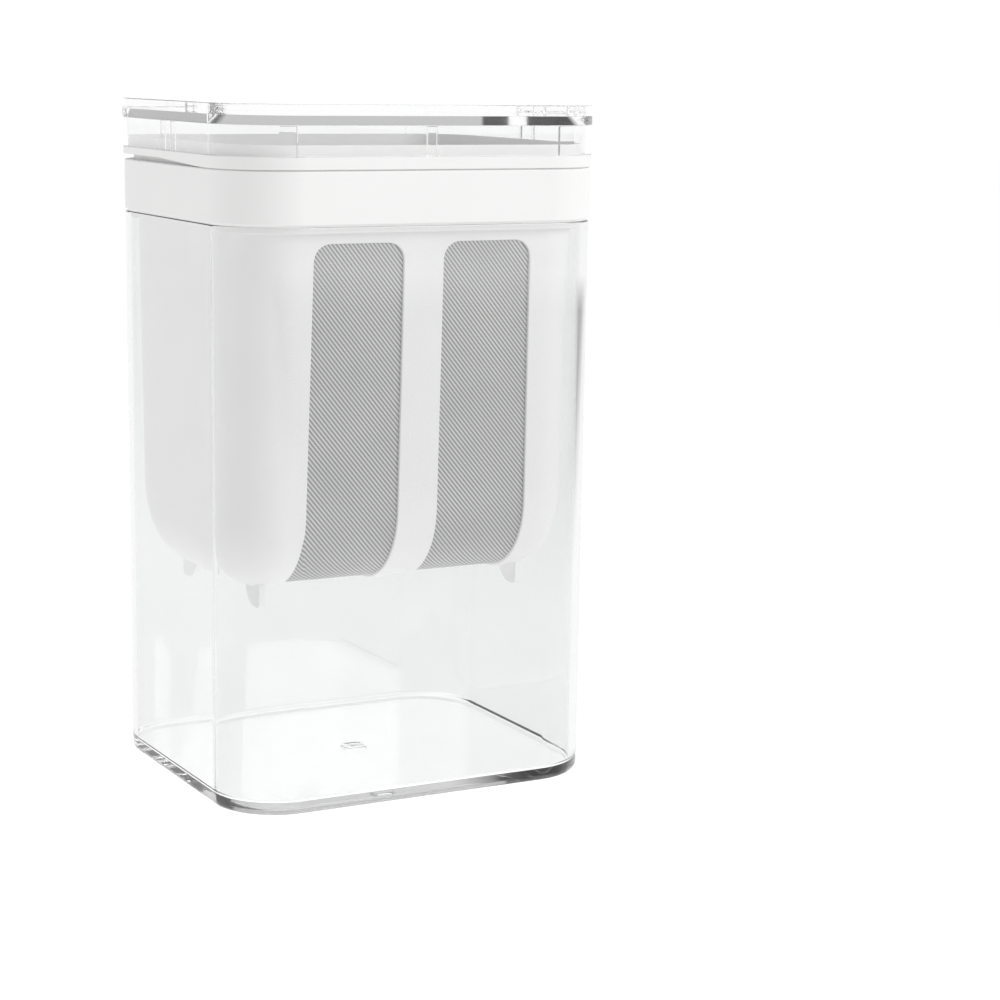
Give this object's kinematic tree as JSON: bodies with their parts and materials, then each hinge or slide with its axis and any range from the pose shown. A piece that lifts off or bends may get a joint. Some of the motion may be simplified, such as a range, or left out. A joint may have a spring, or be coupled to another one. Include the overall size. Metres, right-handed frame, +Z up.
{
  "type": "strainer canister",
  "caption": "Clear rectangular kitchen canister with rounded corners, a lift-out white strainer basket with filter windows, and a clear sealing lid.",
  "frame": {"origin": "centre of the underside of the base, on the surface the canister stands on", "axes": "+X along the wide side to the right, +Y from front to back, +Z up"},
  "size_m": [0.1214, 0.1054, 0.2026],
  "materials": {
    "clear_body": "clear, polished",
    "white_frame": "satin",
    "filter_cloth": "fine twilled wire cloth",
    "clear_lid": "clear, polished",
    "white_ring": "satin",
    "gasket": "matte silicone"
  },
  "bodies": {
    "container": {"container": "clear_body"},
    "basket": {"basket_frame": "white_frame", "filter_strip_left": "filter_cloth", "filter_strip_right": "filter_cloth"},
    "lid": {"lid_cover": "clear_lid", "lid_ring": "white_ring", "lid_gasket": "gasket"}
  },
  "joints": [
    {"name": "basket_lift", "type": "slide", "parent": "container", "child": "basket", "axis": [0, 0, 1], "range_m": [0, 0.13]},
    {"name": "lid_lift", "type": "slide", "parent": "basket", "child": "lid", "axis": [0, 0, 1], "range_m": [0, 0.04]}
  ]
}
